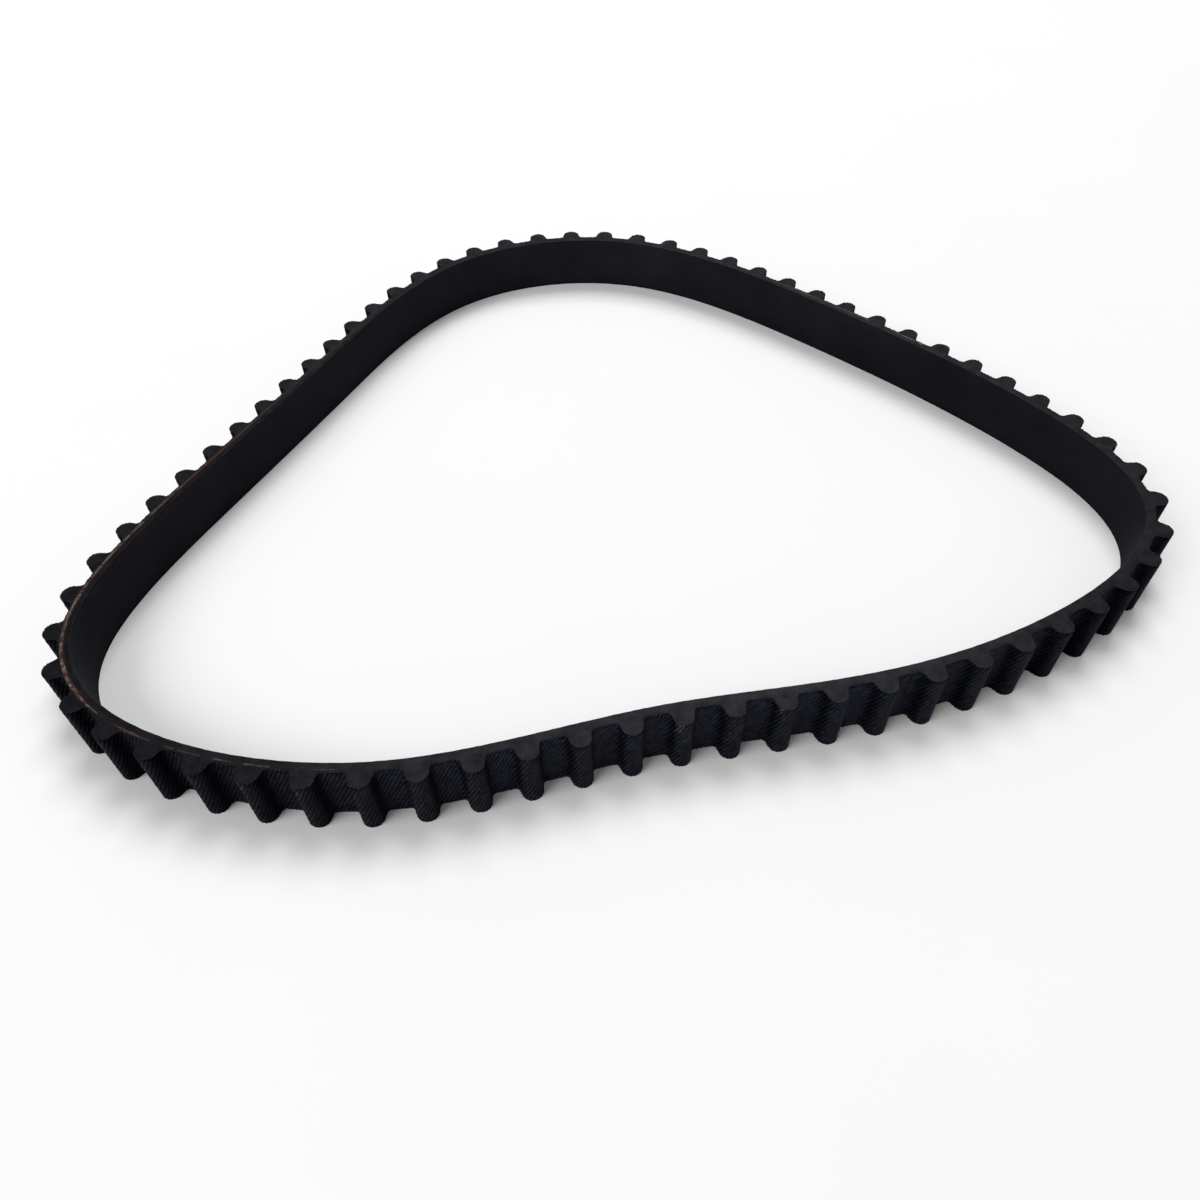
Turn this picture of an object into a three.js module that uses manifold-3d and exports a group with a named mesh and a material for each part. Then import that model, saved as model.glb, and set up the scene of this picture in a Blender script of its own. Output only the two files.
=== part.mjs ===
// An endless rubber timing belt, turned inside out so that its teeth face outwards, standing on one cut
// edge in a loose rounded triangle. Millimetres, +Z up, origin under the middle of the loop at the floor.
// From the inside of the loop outwards the belt is built of a smooth rubber backing, two tension cords
// wound side by side as long helices, the tooth rubber, and the nylon fabric that faces the teeth.
import * as THREE from "three";
import { mergeVertices } from "three/addons/utils/BufferGeometryUtils.js";
import Module from "manifold-3d";

const wasm = await Module();
wasm.setup();

// Driving sizes of the belt
const TOOTH_PITCH = 9.525;
const TOOTH_COUNT = 66;
const BELT_WIDTH = 13;
const PITCH_LENGTH = TOOTH_PITCH * TOOTH_COUNT;

// Heights in the belt's section, measured outwards from the pitch line, which runs through the cords
const BACK_HEIGHT = -1.28;
const LAND_HEIGHT = 0.77;
const TOOTH_HEIGHT = 3.4;
const LAYER_GAP = 0.04;

// Tooth form: a round crest, straight tapering flanks and a fillet at each root
const CREST_RADIUS = 2.1;
const ROOT_RADIUS = 0.8;
const FLANK_ANGLE = THREE.MathUtils.degToRad(12);
const CREST_STEPS = 6;
const ROOT_STEPS = 3;

// Fabric facing and tension cords
const FABRIC_THICKNESS = 0.2;
const CORD_DIAMETER = 0.8;
const CORD_SIDES = 4;
const CORD_LEAD = 2.6;
const FIRST_CORD_EXIT_TOOTH = 41;

// Along tight bends the smooth faces and the cords take two steps for each tooth instead of one
const TIGHT_BEND = THREE.MathUtils.degToRad(7);

// Control points of the loop's plan, a closed uniform cubic B-spline run counter-clockwise
const LOOP_CONTROL_POINTS = [
  [123.5, -37.5], [99, 10], [55, 55], [6.5, 98.5], [-51, 87], [-74, 35.5],
  [-96, -10], [-119, -58], [-95, -86.5], [-44, -96.5], [3.5, -78], [56.5, -76.5],
].map(([x, y]) => new THREE.Vector2(x, y));

// The pitch line in plan. Tooth 0 is at its start, at the right-hand corner.
class PitchLine extends THREE.Curve {
  constructor(points) {
    super();
    this.points = points;
    this.arcLengthDivisions = 3000;
    this.size = 1;
    this.size = PITCH_LENGTH / this.getLength();
    this.updateArcLengths();
  }

  getPoint(t, target = new THREE.Vector3()) {
    const count = this.points.length;
    const place = t * count;
    const first = Math.floor(place);
    const u = place - first;
    const weights = [
      (1 - u) ** 3,
      3 * u ** 3 - 6 * u ** 2 + 4,
      -3 * u ** 3 + 3 * u ** 2 + 3 * u + 1,
      u ** 3,
    ];
    target.set(0, 0, 0);
    weights.forEach((weight, i) => {
      const point = this.points[(first + i - 1 + count) % count];
      target.x += (point.x * weight * this.size) / 6;
      target.y += (point.y * weight * this.size) / 6;
    });
    return target;
  }
}

const pitchLine = new PitchLine(LOOP_CONTROL_POINTS);

const share = (along) => THREE.MathUtils.euclideanModulo(along / PITCH_LENGTH, 1);

// The point of the belt's plan that is some way along the pitch line and some height outwards from it
function planPoint(along, height) {
  const point = pitchLine.getPointAt(share(along));
  const tangent = pitchLine.getTangentAt(share(along));
  return new THREE.Vector2(point.x + tangent.y * height, point.y - tangent.x * height);
}

// The places along the loop where the smooth faces and the cords have their corners: the middle of each
// land, and in tight bends the middle of each tooth as well
function layerStations() {
  const stations = [];
  for (let tooth = 0; tooth < TOOTH_COUNT; tooth += 1) {
    const start = (tooth - 0.5) * TOOTH_PITCH;
    const before = pitchLine.getTangentAt(share(start));
    const after = pitchLine.getTangentAt(share(start + TOOTH_PITCH));
    stations.push(start);
    if (before.angleTo(after) > TIGHT_BEND) stations.push(start + TOOTH_PITCH / 2);
  }
  return stations;
}

const stations = layerStations();

const smoothOutline = (height) => stations.map((along) => planPoint(along, height));

// One tooth from root to root as pairs of place along and height, inset from the belt's outer face
function toothProfile(inset) {
  const crestHeight = LAND_HEIGHT + TOOTH_HEIGHT - CREST_RADIUS;
  const rootHeight = LAND_HEIGHT + ROOT_RADIUS;
  const rise = (rootHeight - crestHeight) * Math.sin(FLANK_ANGLE);
  const rootAlong = (CREST_RADIUS + ROOT_RADIUS - rise) / Math.cos(FLANK_ANGLE);
  const profile = [];
  const addArc = (along, height, radius, from, to, steps) => {
    for (let step = 0; step <= steps; step += 1) {
      const angle = THREE.MathUtils.lerp(from, to, step / steps);
      profile.push([along + radius * Math.cos(angle), height + radius * Math.sin(angle)]);
    }
  };
  const down = Math.PI / 2;
  addArc(-rootAlong, rootHeight, ROOT_RADIUS + inset, -down, -FLANK_ANGLE, ROOT_STEPS);
  addArc(0, crestHeight, CREST_RADIUS - inset, Math.PI - FLANK_ANGLE, FLANK_ANGLE, CREST_STEPS);
  addArc(rootAlong, rootHeight, ROOT_RADIUS + inset, Math.PI + FLANK_ANGLE, Math.PI + down, ROOT_STEPS);
  return profile;
}

function toothedOutline(inset) {
  const profile = toothProfile(inset);
  const outline = [];
  for (let tooth = 0; tooth < TOOTH_COUNT; tooth += 1) {
    profile.forEach(([along, height]) => outline.push(planPoint(tooth * TOOTH_PITCH + along, height)));
  }
  return outline;
}

// A layer of the belt: the space between an outer and an inner outline, as wide as the belt
function layerGeometry(outer, inner) {
  const shape = new THREE.Shape(outer);
  shape.holes.push(new THREE.Path(inner));
  return new THREE.ExtrudeGeometry(shape, { depth: BELT_WIDTH, bevelEnabled: false });
}

// A cord's centre line: it climbs by one lead for each turn round the loop and leaves the upper edge
// at the tooth given. It runs past both edges, where the belt's width cuts it.
class CordPath extends THREE.Curve {
  constructor(exitTooth) {
    super();
    this.exit = exitTooth * TOOTH_PITCH;
    const turnsBelowExit = (BELT_WIDTH + CORD_DIAMETER) / CORD_LEAD;
    const turnsAboveExit = CORD_DIAMETER / CORD_LEAD;
    const exitStep = (this.exit / PITCH_LENGTH) * stations.length;
    this.firstStep = Math.floor(exitStep - turnsBelowExit * stations.length);
    this.lastStep = Math.ceil(exitStep + turnsAboveExit * stations.length);
    this.steps = this.lastStep - this.firstStep;
  }

  stationAlong(step) {
    const turn = Math.floor(step / stations.length);
    return turn * PITCH_LENGTH + stations[step - turn * stations.length];
  }

  // Equal steps of the path fall on the stations, so its corners line up with the layers' corners
  getUtoTmapping(u) {
    return u;
  }

  getPoint(t, target = new THREE.Vector3()) {
    const place = THREE.MathUtils.lerp(this.firstStep, this.lastStep, t);
    const step = Math.floor(place);
    const along = THREE.MathUtils.lerp(this.stationAlong(step), this.stationAlong(step + 1), place - step);
    const plan = planPoint(along, 0);
    return target.set(plan.x, plan.y, BELT_WIDTH + (CORD_LEAD * (along - this.exit)) / PITCH_LENGTH);
  }
}

function toSolid(geometry) {
  const bare = geometry.clone();
  bare.deleteAttribute("normal");
  bare.deleteAttribute("uv");
  const merged = mergeVertices(bare, 1e-4);
  return new wasm.Manifold(new wasm.Mesh({
    numProp: 3,
    vertProperties: new Float32Array(merged.attributes.position.array),
    triVerts: new Uint32Array(merged.index.array),
  }));
}

function toGeometry(solid) {
  const { vertProperties, triVerts } = solid.getMesh();
  const geometry = new THREE.BufferGeometry();
  geometry.setAttribute("position", new THREE.BufferAttribute(vertProperties, 3));
  geometry.setIndex(new THREE.BufferAttribute(triVerts, 1));
  return geometry;
}

function cordGeometry(exitTooth) {
  const corners = [];
  for (let side = 0; side < CORD_SIDES; side += 1) {
    const angle = (side / CORD_SIDES) * 2 * Math.PI;
    corners.push(new THREE.Vector2(Math.cos(angle), Math.sin(angle)).multiplyScalar(CORD_DIAMETER / 2));
  }
  const path = new CordPath(exitTooth);
  const tube = new THREE.ExtrudeGeometry(new THREE.Shape(corners), { steps: path.steps, extrudePath: path });
  const slab = new THREE.BoxGeometry(PITCH_LENGTH, PITCH_LENGTH, BELT_WIDTH);
  slab.translate(0, 0, BELT_WIDTH / 2);
  return toGeometry(toSolid(tube).intersect(toSolid(slab)));
}

const materials = {
  backRubber: new THREE.MeshStandardMaterial({ color: "#19191c", roughness: 0.78, metalness: 0 }),
  toothRubber: new THREE.MeshStandardMaterial({ color: "#2b2b30", roughness: 0.7, metalness: 0 }),
  nylonTwill: new THREE.MeshStandardMaterial({ color: "#1b1b20", roughness: 0.85, metalness: 0 }),
  coatedGlass: new THREE.MeshStandardMaterial({ color: "#8c5540", roughness: 0.6, metalness: 0 }),
};

const belt = new THREE.Group();

function addPiece(name, geometry, material) {
  const piece = new THREE.Mesh(geometry, material);
  piece.name = name;
  belt.add(piece);
}

// The rubber on both sides of the cords stays a gap clear of them, and the tooth rubber of the fabric
const cordWall = CORD_DIAMETER / 2 + LAYER_GAP;
const toothInset = FABRIC_THICKNESS + LAYER_GAP;
const secondCordExitTooth = FIRST_CORD_EXIT_TOOTH - TOOTH_COUNT / 2;

const backing = layerGeometry(smoothOutline(-cordWall), smoothOutline(BACK_HEIGHT));
const toothRubber = layerGeometry(toothedOutline(toothInset), smoothOutline(cordWall));
const facing = layerGeometry(toothedOutline(0), toothedOutline(FABRIC_THICKNESS));

addPiece("backing", backing, materials.backRubber);
addPiece("tension_cord_s", cordGeometry(FIRST_CORD_EXIT_TOOTH), materials.coatedGlass);
addPiece("tension_cord_z", cordGeometry(secondCordExitTooth), materials.coatedGlass);
addPiece("tooth_rubber", toothRubber, materials.toothRubber);
addPiece("facing_fabric", facing, materials.nylonTwill);

// The origin is under the middle of the loop's outer size
const size = new THREE.Box3().setFromObject(belt);
const middle = size.getCenter(new THREE.Vector3());
belt.position.set(-middle.x, -middle.y, 0);

export default belt;
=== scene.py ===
"""Looks of an endless rubber timing belt that stands on one cut edge, turned inside out.

Lengths are in millimetres while shapes are worked out, and each mesh is written in metres. A
place on the belt is given by its way along the pitch line, counter-clockwise from above, its
height outwards from the pitch line, and z.
"""
import math

import bpy
import numpy as np
from mathutils import Matrix, Vector


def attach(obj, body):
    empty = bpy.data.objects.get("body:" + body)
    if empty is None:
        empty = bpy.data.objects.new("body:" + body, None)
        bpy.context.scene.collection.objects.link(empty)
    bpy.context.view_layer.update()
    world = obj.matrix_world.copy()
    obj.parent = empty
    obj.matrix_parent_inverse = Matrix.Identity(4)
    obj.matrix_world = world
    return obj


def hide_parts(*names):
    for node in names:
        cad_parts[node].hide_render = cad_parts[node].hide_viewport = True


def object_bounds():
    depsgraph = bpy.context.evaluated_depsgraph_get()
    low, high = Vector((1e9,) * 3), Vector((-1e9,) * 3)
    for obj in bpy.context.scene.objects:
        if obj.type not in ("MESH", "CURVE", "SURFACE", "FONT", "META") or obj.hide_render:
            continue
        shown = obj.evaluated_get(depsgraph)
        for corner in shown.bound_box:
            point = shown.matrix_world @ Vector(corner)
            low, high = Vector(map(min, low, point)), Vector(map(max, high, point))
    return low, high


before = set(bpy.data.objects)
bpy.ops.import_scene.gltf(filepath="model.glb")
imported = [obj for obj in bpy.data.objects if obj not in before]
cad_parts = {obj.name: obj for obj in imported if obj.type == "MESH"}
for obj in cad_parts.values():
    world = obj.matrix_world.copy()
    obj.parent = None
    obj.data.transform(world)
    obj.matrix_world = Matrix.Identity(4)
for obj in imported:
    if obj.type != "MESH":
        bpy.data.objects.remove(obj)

CAD_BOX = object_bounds()
MM = 0.001

# The belt's sizes, as in the CAD model
TOOTH_PITCH = 9.525
TOOTH_COUNT = 66
PITCH_LENGTH = TOOTH_PITCH * TOOTH_COUNT
BELT_WIDTH = 13.0
BACK_HEIGHT = -1.28
LAND_HEIGHT = 0.77
TOOTH_HEIGHT = 3.4
CREST_RADIUS = 2.1
ROOT_RADIUS = 0.8
FLANK_ANGLE = math.radians(12)
FABRIC_THICKNESS = 0.2
SEAM_HEIGHT = 0.0
CORD_RADIUS = 0.4
CORD_HEIGHT = 0.12
CORD_LEAD = 2.6
FIRST_CORD_EXIT_TOOTH = 41
SECOND_CORD_EXIT_TOOTH = 8
LOOP_CONTROL_POINTS = np.array([
    [123.5, -37.5], [99, 10], [55, 55], [6.5, 98.5], [-51, 87], [-74, 35.5],
    [-96, -10], [-119, -58], [-95, -86.5], [-44, -96.5], [3.5, -78], [56.5, -76.5],
])

# The twill of the facing: ribs that lean to the right as seen from outside, and the floats in them
RIB_COUNT = 1117
COLUMNS_PER_RIB = 5
RIB_LEAN_COLUMNS = 43
RIB_RELIEF = 0.07
FLOAT_SPACING = 0.37
FLOAT_STAGGER = 0.37
FABRIC_ROWS = 14

# Painted light and shade on the twill's outer face along the belt, darker or paler as the light
# falls there, as places in teeth and shares
SHADING_TEETH = (0, 4, 20, 40, 43, 46.5, 50, 57, 61, 62.5, 66)
SHADING_SHARES = (0.75, 1.0, 1.0, 0.7, 0.65, 0.85, 1.3, 1.35, 1.25, 0.75, 0.75)

# Painted light and shade on the rubber along the belt, brighter or darker as the light falls there:
# the place in teeth, and the shares of the tooth rubber's cut face, of the back's cut face and of
# the back itself
PAINTED_LIGHT_TABLE = np.array([
    (0, 0.84, 0.84, 0.96), (3, 0.84, 0.84, 0.95), (8, 0.82, 0.82, 0.96), (15, 0.85, 0.82, 1.0),
    (18, 0.87, 0.8, 1.25), (25, 0.88, 0.75, 1.25), (28, 0.88, 0.65, 1.05), (34, 0.8, 0.5, 1.0),
    (41, 0.66, 0.5, 1.0), (45.5, 0.74, 0.72, 1.0), (48, 0.98, 0.98, 1.0), (58, 1.02, 1.08, 1.0),
    (61, 0.97, 1.02, 1.0), (63, 0.84, 0.88, 0.98), (66, 0.84, 0.84, 0.96),
])
PAINTED_LIGHT_TEETH, TOOTH_CUT_SHARES, BACK_CUT_SHARES, BACK_FACE_SHARES = PAINTED_LIGHT_TABLE.T

# How strong the painted highlight on the back is along the belt, and how far below its upper edge
# it lies
BACK_HIGHLIGHT_TEETH = (0, 33, 36.5, 42, 44, 66)
BACK_HIGHLIGHT_SHARES = (0.12, 0.12, 1.0, 1.0, 0.12, 0.12)
BACK_HIGHLIGHT_DEPTH = 1.1

# How far the cords' brown coating is smeared over the cut faces along the belt
SMEAR_TEETH = (0, 7, 9, 13, 15, 26, 28, 41.5, 42.6, 46, 48, 66)
SMEAR_SHARES = (0.03, 0.03, 0.3, 0.3, 0.03, 0.03, 1.0, 1.0, 0.35, 0.2, 0.03, 0.03)

# Spots of painted highlight on the twill's ridges, as places in teeth and heights above the lower
# edge
HIGHLIGHT_SPOTS = (
    (43.95, 9.5), (44.93, 10.8), (45.94, 11.5), (46.93, 11.5), (47.87, 10.0), (50.1, 6.0),
    (53.9, 11.2), (54.03, 9.0), (55.05, 8.8), (57.15, 9.5), (59.2, 8.5), (3.0, 7.0),
    (9.0, 5.0), (21.1, 8.0), (30.0, 6.0), (36.9, 9.0),
)
HIGHLIGHT_SIZE = 0.85

# The length along the belt in which a cord climbs from edge to edge, and how far it runs on past
# both edges, cut thinner and thinner, until only its last depth is left inside the belt
CORD_LAST_DEPTH = 0.13
CORD_CLIMB = BELT_WIDTH / CORD_LEAD * PITCH_LENGTH
CORD_REACH = (CORD_RADIUS - CORD_LAST_DEPTH) / CORD_LEAD * PITCH_LENGTH

# Where pale ends of yarn stick out of the upper cut edge, in teeth, and how far each one reaches
LOOSE_END_TEETH = (44.93, 45.93, 46.9, 53.55, 53.66, 53.88, 53.95, 55.9)
LOOSE_END_LENGTHS = (0.7, 0.7, 0.6, 0.8, 0.6, 1.3, 1.5, 1.8)

# Stretches where each cord shows in the upper cut face, from and to in teeth, and how much of its
# width is bare there
FIRST_CORD_BARE = (
    (29.0, 42.6, 0.6), (43.0, 43.95, 0.46), (44.2, 45.05, 0.3), (45.15, 45.7, 0.32),
    (45.75, 46.4, 0.28), (47.1, 47.7, 0.26),
)
SECOND_CORD_BARE = ((8.4, 9.5, 0.3), (10.1, 13.3, 0.4))

# Corners of the rubber sharper than this keep a hard edge
SHARP_ANGLE = math.radians(50)

# The folds of the layers' and of the cords' square maps, and the room left free at a map's sides
LAYER_FOLDS = 8
CORD_FOLDS = 36
MAP_MARGIN = 0.004

random = np.random.default_rng(66)


# --- The belt's plan -----------------------------------------------------------------------------

def spline(place):
    """Points and directions of the closed B-spline through the loop's control points."""
    count = len(LOOP_CONTROL_POINTS)
    place = np.mod(place, count)
    first = np.floor(place).astype(int)
    u = (place - first)[:, None]
    weights = (
        (1 - u) ** 3,
        3 * u ** 3 - 6 * u ** 2 + 4,
        -3 * u ** 3 + 3 * u ** 2 + 3 * u + 1,
        u ** 3,
    )
    slopes = (-(1 - u) ** 2, 3 * u ** 2 - 4 * u, -3 * u ** 2 + 2 * u + 1, u ** 2)
    around = [LOOP_CONTROL_POINTS[(first + i - 1) % count] for i in range(4)]
    points = sum(w * p for w, p in zip(weights, around)) / 6
    directions = sum(w * p for w, p in zip(slopes, around)) / 2
    return points, directions


SPLINE_STEPS = 36000
SPLINE_PLACES = np.linspace(0, len(LOOP_CONTROL_POINTS), SPLINE_STEPS + 1)


def spline_lengths():
    """How far along the spline each of its places lies."""
    speeds = np.linalg.norm(spline(SPLINE_PLACES)[1], axis=1)
    steps = (speeds[1:] + speeds[:-1]) / 2 * SPLINE_PLACES[1]
    return np.concatenate([[0], np.cumsum(steps)])


SPLINE_LENGTHS = spline_lengths()
LOOP_SCALE = PITCH_LENGTH / SPLINE_LENGTHS[-1]


def uncentred_plan(along, height):
    """Points of the plan some way along the pitch line and some height outwards from it."""
    place = np.interp(np.mod(along, PITCH_LENGTH), SPLINE_LENGTHS * LOOP_SCALE, SPLINE_PLACES)
    points, directions = spline(place)
    directions = directions / np.linalg.norm(directions, axis=1)[:, None]
    normals = np.column_stack([directions[:, 1], -directions[:, 0]])
    return points * LOOP_SCALE + normals * np.asarray(height).reshape(-1, 1)


def tooth_profile(inset):
    """One pitch of the toothed face, from the middle of a land to the middle of the next, as places
    along and heights, inset from the belt's outer face."""
    crest_height = LAND_HEIGHT + TOOTH_HEIGHT - CREST_RADIUS
    root_height = LAND_HEIGHT + ROOT_RADIUS
    rise = (root_height - crest_height) * math.sin(FLANK_ANGLE)
    root_along = (CREST_RADIUS + ROOT_RADIUS - rise) / math.cos(FLANK_ANGLE)
    root_radius = ROOT_RADIUS + inset
    down = math.pi / 2
    back = math.pi
    land_steps = 4
    root_steps = 8
    crest_steps = 22

    def arc(along, height, radius, start, end, steps):
        angles = np.linspace(start, end, steps + 1)
        return np.column_stack([along + radius * np.cos(angles), height + radius * np.sin(angles)])

    middle = TOOTH_PITCH / 2
    land = np.linspace(-middle, -root_along, land_steps + 1)[:-1]
    floor = np.full(len(land), LAND_HEIGHT - inset)
    return np.concatenate([
        np.column_stack([land, floor]),
        arc(-root_along, root_height, root_radius, -down, -FLANK_ANGLE, root_steps),
        arc(0, crest_height, CREST_RADIUS - inset, back - FLANK_ANGLE, FLANK_ANGLE, crest_steps),
        arc(root_along, root_height, root_radius, back + FLANK_ANGLE, back + down, root_steps),
        np.column_stack([-land[::-1], floor]),
    ])


def toothed_outline(inset):
    """The toothed face round the whole loop, as places along and heights."""
    profile = tooth_profile(inset)[:-1]
    teeth = np.arange(TOOTH_COUNT)[:, None] * TOOTH_PITCH
    return (teeth + profile[:, 0]).ravel(), np.tile(profile[:, 1], TOOTH_COUNT)


def centring():
    """How far the plan moves to stand in the middle of the CAD model's box."""
    outline = uncentred_plan(*toothed_outline(0))
    middle = (np.array(CAD_BOX[0]) + np.array(CAD_BOX[1]))[:2] / 2 / MM
    return middle - (outline.min(0) + outline.max(0)) / 2


CENTRING = centring()


def points_at(along, height, z):
    """Points in the frame, in millimetres, at places on the belt."""
    plan = uncentred_plan(along, height) + CENTRING
    return np.column_stack([plan, np.broadcast_to(z, len(plan))])


def wander(spacing, size):
    """A smooth random number along the loop, from -size to size, with a new value every spacing."""
    count = round(PITCH_LENGTH / spacing)
    values = random.uniform(-size, size, count)

    def at(along):
        place = np.mod(along, PITCH_LENGTH) / PITCH_LENGTH * count
        first = np.floor(place).astype(int) % count
        share = place - np.floor(place)
        share = share * share * (3 - 2 * share)
        return values[first] * (1 - share) + values[(first + 1) % count] * share

    return at


# --- Meshes --------------------------------------------------------------------------------------

class Grid:
    """A mesh of quads between rows of points. Each row runs along the belt, and the rows follow
    each other round its section, so that the bands between them close into a solid."""

    def __init__(self, name, closed=True):
        self.name = name
        self.closed = closed
        self.rows = []
        self.bands = []

    def row(self, points):
        self.rows.append(points)

    def band(self, start, end, panel, slot=0, shift=0):
        """The band above the last row. start and end are the strip map's (u, v) at its two rows, as
        arrays with one more entry than it has quads, and panel is its (lowest, highest) share of
        the folded map. shift is how many columns the next row's count is ahead."""
        self.bands.append((start, end, panel, slot, shift))

    def build(self, folds, materials, caps=False):
        columns = len(self.rows[0])
        steps = np.arange(columns if self.closed else columns - 1)
        quads = []
        strip = []
        folded = []
        slots = []
        for index, (start, end, panel, slot, shift) in enumerate(self.bands):
            here = index * columns
            there = (index + 1) % len(self.rows) * columns
            after = (steps + 1) % columns
            quads.append(np.column_stack([
                here + steps, here + after,
                there + (after + shift) % columns, there + (steps + shift) % columns,
            ]))
            strip.append(np.stack([start[:-1], start[1:], end[1:], end[:-1]], axis=1))
            folded.append(folded_corners(len(steps), folds, panel))
            slots.append(np.full(len(steps), slot))
        corners = [np.concatenate(quads).ravel()]
        sizes = [np.full(len(corners[0]) // 4, 4)]
        slots = [np.concatenate(slots)]
        maps = {
            "strip": [np.concatenate(strip).reshape(-1, 2)],
            "OFBake": [np.concatenate(folded).reshape(-1, 2)],
        }
        if caps:
            ring = np.arange(len(self.rows)) * columns
            for cap in (ring, (ring + columns - 1)[::-1]):
                corners.append(cap)
                sizes.append(np.array([len(cap)]))
                slots.append(np.array([0]))
                for values in maps.values():
                    values.append(np.full((len(cap), 2), values[0][0]))
        return make_mesh(
            self.name, np.concatenate(self.rows), np.concatenate(corners), np.concatenate(sizes),
            np.concatenate(slots), {k: np.concatenate(v) for k, v in maps.items()}, materials,
        )


def folded_corners(count, folds, panel):
    """Corners of a long strip of quads in a square map, where the strip is cut into folds that lie
    above each other, and panel is the strip's (lowest, highest) share of a fold."""
    per_fold = -(-count // folds)
    step = np.arange(count)
    fold = step // per_fold
    room = 1 - 2 * MAP_MARGIN
    left = MAP_MARGIN + room * (step % per_fold) / per_fold
    right = left + room / per_fold
    low = (fold + panel[0]) / folds
    high = (fold + panel[1]) / folds
    return np.stack([
        np.column_stack([left, low]), np.column_stack([right, low]),
        np.column_stack([right, high]), np.column_stack([left, high]),
    ], axis=1)


def make_mesh(name, points, corners, sizes, slots, maps, materials):
    """A piece whose faces take their corners from one list, as many as each face's size. slots are
    the faces' materials, and maps the (u, v) of each corner."""
    mesh = bpy.data.meshes.new(name)
    mesh.vertices.add(len(points))
    mesh.vertices.foreach_set("co", (points * MM).astype(np.float32).ravel())
    mesh.loops.add(len(corners))
    mesh.loops.foreach_set("vertex_index", corners.astype(np.int32))
    mesh.polygons.add(len(sizes))
    starts = np.concatenate([[0], np.cumsum(sizes)[:-1]])
    mesh.polygons.foreach_set("loop_start", starts.astype(np.int32))
    mesh.polygons.foreach_set("material_index", slots.astype(np.int32))
    for key, values in maps.items():
        layer = mesh.uv_layers.new(name=key)
        layer.uv.foreach_set("vector", values.astype(np.float32).ravel())
    mesh.update(calc_edges=True)
    mesh.validate()
    for material in materials:
        mesh.materials.append(material)
    piece = bpy.data.objects.new(name, mesh)
    bpy.context.collection.objects.link(piece)
    return piece


def set_shares(piece, name, values):
    """Gives each point of a piece's mesh a number for its material to use."""
    shares = piece.data.attributes.new(name, "FLOAT", "POINT")
    shares.data.foreach_set("value", values)


def strip_row(across, count, step=1.0):
    """The strip map's places for one row: count + 1 of them, a step apart. across is one place
    across the strip, or one for each column."""
    across = np.broadcast_to(across, count)
    return np.column_stack([step * np.arange(count + 1), np.append(across, across[0])])


# --- Materials -----------------------------------------------------------------------------------

# Black nylon and rubber shine a little blue
NYLON_TINT = (0.7, 0.78, 1.0)
RUBBER_TINT = (0.85, 0.88, 1.0)

# Colours in linear light, where two stand together from dark to pale
# TWILL runs from painted shade in the grooves between the ribs and floats to the pale ridges
TWILL = (0.0013, 0.0016, 0.0031), (0.0079, 0.0087, 0.0138)
# The pale colour of the painted highlight spots on the twill's ridges
TWILL_HIGHLIGHT_COLOUR = (0.065, 0.071, 0.082)
CUT_YARN = (0.007, 0.0073, 0.01), (0.05, 0.051, 0.055)
LOOSE_YARN = (0.012, 0.012, 0.015), (0.22, 0.21, 0.18)
CUT_BACK = (0.006, 0.0061, 0.0075), (0.0142, 0.0142, 0.0175)
CUT_TOOTH = (0.0052, 0.0054, 0.0067), (0.0128, 0.0133, 0.0166)
FILLER_SPECK = (0.05, 0.05, 0.055)
COATING_SMEAR = (0.025, 0.0125, 0.0098)
GROUND_BACK = (0.0068, 0.0069, 0.0094), (0.0122, 0.0119, 0.0161)
# The pale colour of the painted highlight a little below the back's upper edge
BACK_HIGHLIGHT_COLOUR = (0.016, 0.0175, 0.0235)
CORD_COATING = (0.02, 0.0085, 0.0065), (0.055, 0.023, 0.016)
SLICED_GLASS = (0.035, 0.0175, 0.0165), (0.105, 0.079, 0.072)
PALE_FILAMENTS = (0.215, 0.187, 0.152)
DULL_GLASS = (0.036, 0.0165, 0.012)
GOLDEN_GLASS = (0.036, 0.0265, 0.0175)
REDDISH_GLASS = (0.05, 0.026, 0.027)
PALE_FLOOR = (0.92, 0.92, 0.92), (0.94, 0.94, 0.94)


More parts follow.
